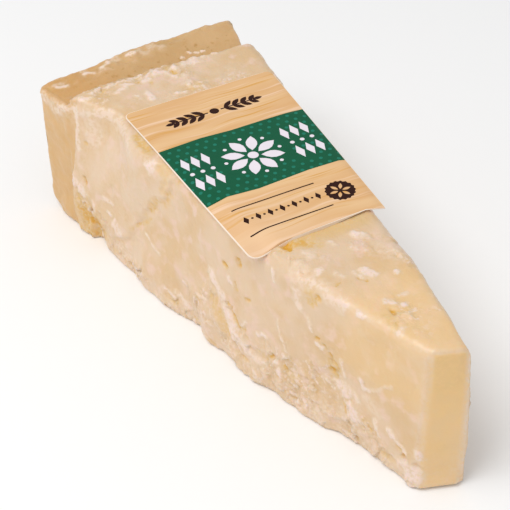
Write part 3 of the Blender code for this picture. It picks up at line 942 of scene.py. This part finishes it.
def label_outline(insets):
    """The label's flat outline in millimetres, drawn in on its left, back, right and front."""
    back, front, long = LABEL_BACK_WIDTH / 2, LABEL_FRONT_WIDTH / 2, LABEL_LENGTH
    from_left, from_back, from_right, from_front = insets
    corners = (
        (-back + from_left, from_back), (back - from_right, from_back),
        (front - from_right, long - from_front), (FRONT_DIP_AT[0], FRONT_DIP_AT[1] - from_front),
        (-front + from_left, long - from_front),
    )
    return rounded(corners, [max(radius - max(insets), LEAST_CORNER) for radius in LABEL_CORNERS])


def rosette():
    """A flower of pointed petals round a heart, with a bead beyond each gap between them."""
    middle = Vector(ROSETTE_AT)
    petal_from, petal_long, petal_wide, bead_ring = 2.5, 7.2, 3.6, 9.0
    shapes = []
    for petal in range(ROSETTE_PETALS):
        gap = 2 * math.pi * petal / ROSETTE_PETALS
        heading = 2 * math.pi * (petal + 0.5) / ROSETTE_PETALS
        shapes.append(leaf(middle + way(heading) * petal_from, heading, petal_long, petal_wide))
        shapes.append(disc(middle + way(gap) * bead_ring, radius=0.62, sides=10))
    return shapes + [disc(ROSETTE_AT, radius=1.7, sides=16)]


def lozenge_columns():
    """Three columns on each side of the rosette: a lozenge, a dot and a lozenge."""
    shapes = []
    for side in (-1, 1):
        for column in range(3):
            across = side * (13.4 + 3.4 * column)
            shapes += [lozenge((across, along), half_wide=1.35, half_long=3.3) for along in LOZENGE_ROWS]
            shapes.append(disc((across, ROSETTE_AT[1]), radius=0.75, sides=10))
    return shapes


def sprig():
    """A berry with a leafy twig on each side, its leaves in pairs that grow smaller outward."""
    stem_from, stem_to, first_pair, pair_pitch = 2.2, 13.4, 3.4, 2.9
    shapes = []
    for side, straight in ((-1, math.pi), (1, 0.0)):
        shapes.append(rule((side * stem_from, SPRIG_ALONG), (side * stem_to, SPRIG_ALONG), width=0.55))
        for pair in range(4):
            stalk = (side * (first_pair + pair_pitch * pair), SPRIG_ALONG)
            for lean in (-SPRIG_LEAN, SPRIG_LEAN):
                shapes.append(leaf(stalk, straight + side * lean, length=4.6 - 0.35 * pair, width=1.75))
        shapes.append(leaf((side * stem_to, SPRIG_ALONG), straight, length=3.4, width=1.6))
    return shapes + [disc((0.0, SPRIG_ALONG), radius=1.55, sides=14)]


def ruled_chain():
    """Two rules, and between them a chain of lozenges and dots by turns."""
    half_rule, links = 13.5, 7
    shapes = []
    for along in RULES_ALONG:
        shapes.append(rule((RULES_MIDDLE - half_rule, along), (RULES_MIDDLE + half_rule, along), width=0.5))
    for link in range(links):
        across = RULES_MIDDLE + (link - links // 2) * CHAIN_PITCH
        shapes.append(lozenge((across, CHAIN_ALONG), half_wide=0.85, half_long=1.7))
        if link < links - 1:
            shapes.append(disc((across + CHAIN_PITCH / 2, CHAIN_ALONG), radius=0.42, sides=8))
    return shapes


def seal_flower():
    """The small flower left bare in the middle of the round seal."""
    headings = [2 * math.pi * petal / SEAL_PETALS for petal in range(SEAL_PETALS)]
    return [leaf(Vector(SEAL_AT) + way(turn) * 0.7, turn, length=2.7, width=1.1) for turn in headings]


def motif_shapes():
    """The white, brown and bare shapes, each with its ink. A later one lies over those before it."""
    seal = disc(SEAL_AT, SEAL_RADIUS, sides=36, scallop=SEAL_SCALLOP)
    inked = [(WHITE, shape) for shape in rosette() + lozenge_columns()]
    inked += [(BROWN, shape) for shape in sprig() + ruled_chain() + [seal]]
    return inked + [(WOOD, shape) for shape in seal_flower()]


def polka_dots(motifs):
    """Even staggered rows of dots all over the band, left out where a motif or an edge is near."""
    taken = [point for _, shape in motifs for point in shape]
    first_row, row_pitch = 25.4, DOT_PITCH * 0.866
    shapes = []
    for row in range(-1, 11):
        for column in range(-9, 10):
            across = (column + 0.5 * (row % 2)) * DOT_PITCH
            along = first_row + row * row_pitch
            near = min(math.hypot(across - x, along - y) for x, y in taken)
            on_band = DOT_ROWS_FROM < along < DOT_ROWS_TO and abs(across) < DOT_REACH
            if on_band and near > DOT_CLEARANCE:
                shapes.append((TEAL, disc((across, along), DOT_RADIUS, sides=8)))
    return shapes


def inside(points, shape):
    """Which of the points lie inside the shape."""
    found = np.zeros(len(points), bool)
    x, y = points.T
    for (x0, y0), (x1, y1) in zip(shape, shape[1:] + shape[:1]):
        if y0 != y1:
            crosses = (y0 > y) != (y1 > y)
            found ^= crosses & (x < (x1 - x0) * (y - y0) / (y1 - y0) + x0)
    return found


def bend(over, radius, most):
    """Where a strip that starts to bend at 0 comes to: how far out, and how far down."""
    if over <= 0.0:
        return over, 0.0
    turned = min(over / radius, most)
    straight = over - turned * radius
    out = radius * math.sin(turned) + straight * math.cos(turned)
    down = radius * (1.0 - math.cos(turned)) + straight * math.sin(turned)
    return out, down


def between(pair, share):
    """The value this share of the way from the first to the second."""
    return pair[0] + (pair[1] - pair[0]) * share


def fold_down(flat, corner, outward, begins, radii, mosts, share):
    """Bends a point of the flat label down over the edge line through this corner."""
    over = (flat - corner).dot(outward)
    begin = between(begins, share)
    out, down = bend(over - begin, between(radii, share), between(mosts, share))
    return outward * (out + begin - over), down


def plan_edges():
    """Both long edge lines of the plan: a corner on each and its way outward."""
    nose_half = way(NOSE_TURN) * PLAN_NOSE_WIDTH / 2
    back_half = way(PLAN_BACK_TURN) * PLAN_BACK_WIDTH / 2
    back_at = NOSE_AT + Vector((0.0, PLAN_LENGTH))
    left_line = (NOSE_AT - nose_half - back_at + back_half).normalized()
    right_line = (NOSE_AT + nose_half - back_at - back_half).normalized()
    left_out = Vector((left_line.y, -left_line.x))
    right_out = Vector((-right_line.y, right_line.x))
    return NOSE_AT - nose_half, left_out, NOSE_AT + nose_half, right_out


def label_point(across, along, edges):
    """The underside of the label, across from its middle line and along from its back edge."""
    nose_left, left_out, nose_right, right_out = edges
    right_way = way(LABEL_TURN)
    nose_way = Vector((right_way.y, -right_way.x))
    flat = NOSE_AT + LABEL_MIDDLE + right_way * across + nose_way * (along - LABEL_LENGTH / 2)
    share = along / LABEL_LENGTH
    left_shift, left_down = fold_down(
        flat, nose_left, left_out, LEFT_BEND_FROM, LEFT_BEND_RADIUS, LEFT_BEND_MOST, share
    )
    right_shift, right_down = fold_down(
        flat, nose_right, right_out, RIGHT_BEND_FROM, RIGHT_BEND_RADIUS, RIGHT_BEND_MOST, share
    )
    flat = flat + left_shift + right_shift
    return Vector((flat.x, flat.y, TOP + LABEL_GAP - left_down - right_down + paper_lift(across, along)))


def paper_lift(across, along):
    """How far the stiff paper stands off or dips: its front edge rises, its front left corner droops."""
    front = float(ease(along, 66, LABEL_LENGTH))
    middle = float(fade(abs(across - 1), 4, 14))
    corner = float(fade(abs(across + 17), 0.0, 6))
    wave = 0.07 * noise.noise(Vector((across, along, 0.0)) / 11)
    right = float(fade(abs(across - 12.5), 2, 8))
    return front * (0.25 * middle + 0.3 * right - 1.1 * corner) + wave


def label_sheet(shapes):
    """The flat label cut along every printed outline, as places in millimetres and triangles."""
    outline = label_outline((0.0, 0.0, 0.0, 0.0))
    loops = [outline, label_outline(LABEL_BORDERS)] + [shape for _, shape in shapes]
    places, edges = [], []
    for loop in loops:
        first = len(places)
        places += [Vector(point) for point in loop]
        edges += [(first + at, first + (at + 1) % len(loop)) for at in range(len(loop))]
    for across in np.arange(-LABEL_CELLS_REACH, LABEL_CELLS_REACH + 0.1, LABEL_CELL[0]):
        for along in np.arange(0.6, LABEL_LENGTH, LABEL_CELL[1]):
            places.append(Vector((across, along)))
    places, _, triangles, _, _, _ = geometry.delaunay_2d_cdt(places, edges, [], 0, 1e-5)
    places = np.array([tuple(place) for place in places])
    triangles = np.array(triangles)
    middles = places[triangles].mean(axis=1)
    kept = inside(middles, outline)
    return places, triangles[kept], middles[kept]


def build_label(inks):
    """The label as one closed sheet, every triangle in the ink that is printed there."""
    motifs = motif_shapes()
    band = list(BAND_BACK_EDGE + BAND_FRONT_EDGE)
    shapes = [(GREEN, band)] + polka_dots(motifs) + motifs
    places, triangles, middles = label_sheet(shapes)
    ink = np.full(len(triangles), CORE)
    printed = inside(middles, label_outline(LABEL_BORDERS))
    ink[printed] = WOOD
    for which, shape in shapes:
        ink[printed & inside(middles, shape)] = which

    # Only the places that a triangle uses, each with its underside and its top
    used, triangles = np.unique(triangles, return_inverse=True)
    triangles = triangles.reshape(-1, 3)
    places = places[used]
    lines = plan_edges()
    small = 0.2
    under, top = [], []
    for across, along in places:
        at = label_point(across, along, lines)
        to_right = label_point(across + small, along, lines) - label_point(across - small, along, lines)
        to_front = label_point(across, along + small, lines) - label_point(across, along - small, lines)
        up = to_front.cross(to_right).normalized()
        under.append(tuple(at * MM))
        top.append(tuple((at + up * LABEL_THICK) * MM))

    # The cut edge all round joins the two
    sides = dict.fromkeys(pair for a, b, c in triangles.tolist() for pair in ((a, b), (b, c), (c, a)))
    rim = [pair for pair in sides if pair[::-1] not in sides]
    count = len(places)
    faces = [tuple(triangle[::-1]) for triangle in triangles.tolist()]
    faces += [tuple(at + count for at in triangle) for triangle in triangles.tolist()]
    faces += [(a, b, b + count, a + count) for a, b in rim]
    mesh = bpy.data.meshes.new("label_sheet")
    mesh.from_pydata(top + under, [], faces)
    flat = mesh.attributes.new("flat", "FLOAT_VECTOR", "POINT")
    spread_flat = np.column_stack((places * MM, np.zeros(count)))
    flat.data.foreach_set("vector", np.concatenate((spread_flat, spread_flat)).astype(np.float32).ravel())
    materials = np.concatenate((ink, np.full(len(faces) - len(ink), CORE))).astype(np.int32)
    mesh.shade_smooth()
    mesh.set_sharp_from_angle(angle=math.radians(40.0))
    piece = new_piece("label_sheet", mesh, inks, node="label")
    mesh.polygons.foreach_set("material_index", materials)
    mesh.update()
    return piece


def label_inks():
    """The label's print, its inks and the bare paper of its cut edge, in the order of their numbers."""
    return [
        wood_print(),
        flat_ink("green_ink", INK_GREEN, INK_GREEN_DEEP, 5.0),
        flat_ink("teal_ink", INK_TEAL, INK_TEAL_DEEP, 2.0),
        flat_ink("white_ink", INK_WHITE, INK_WHITE_THIN, 2.5),
        flat_ink("brown_ink", INK_BROWN, INK_BROWN_THIN, 1.5),
        flat_ink("paper_core", PAPER_CORE, PAPER_CORE_FUZZ, 0.8),
    ]


def build_camera():
    """The camera as it stood for the photograph, a little rolled."""
    data = bpy.data.cameras.new("camera")
    data.lens = LENS_MM
    data.sensor_width = SENSOR_MM
    data.clip_start = 0.01
    data.clip_end = 20.0
    camera = placed("camera", data)
    turn = (
        Matrix.Rotation(CAMERA_AZIMUTH, 4, "Z")
        @ Matrix.Rotation(math.pi / 2 - CAMERA_ELEVATION, 4, "X")
        @ Matrix.Rotation(CAMERA_ROLL, 4, "Z")
    )
    camera.matrix_world = Matrix.Translation(CAMERA_AT) @ turn
    bpy.context.scene.camera = camera


def build_lights():
    """An even white room and one large soft lamp."""
    world = bpy.data.worlds.new("white_room")
    world.use_nodes = True
    white = {"Color": (1.0, 1.0, 1.0, 1.0), "Strength": ROOM_LIGHT}
    feed(world.node_tree.nodes["Background"], white)
    bpy.context.scene.world = world
    data = bpy.data.lights.new("key_lamp", "AREA")
    data.size = KEY_SIZE
    data.energy = KEY_WATTS
    lamp = placed("key_lamp", data)
    lamp.location = KEY_AT
    lamp.rotation_euler = (-Vector(KEY_AT)).to_track_quat("-Z", "Y").to_euler()
    bpy.context.scene.view_settings.view_transform = "Standard"


def build_floor():
    """A plain, pale, matt floor."""
    mesh = bpy.data.meshes.new("floor")
    corners = [(x * FLOOR_REACH, y * FLOOR_REACH, 0.0) for x, y in ((-1, -1), (1, -1), (1, 1), (-1, 1))]
    mesh.from_pydata(corners, [], [(0, 1, 2, 3)])
    material, _, shader = shader_of("pale_floor")
    feed(shader, {"Base Color": colour(FLOOR_WHITE), "Roughness": 0.9, "Specular IOR Level": 0.0})
    mesh.materials.append(material)
    placed("floor", mesh)


def main():
    """The room first, then the cheese and the label on it."""
    build_camera()
    build_lights()
    build_floor()
    build_cheese(cheese_paste())
    build_label(label_inks())


main()
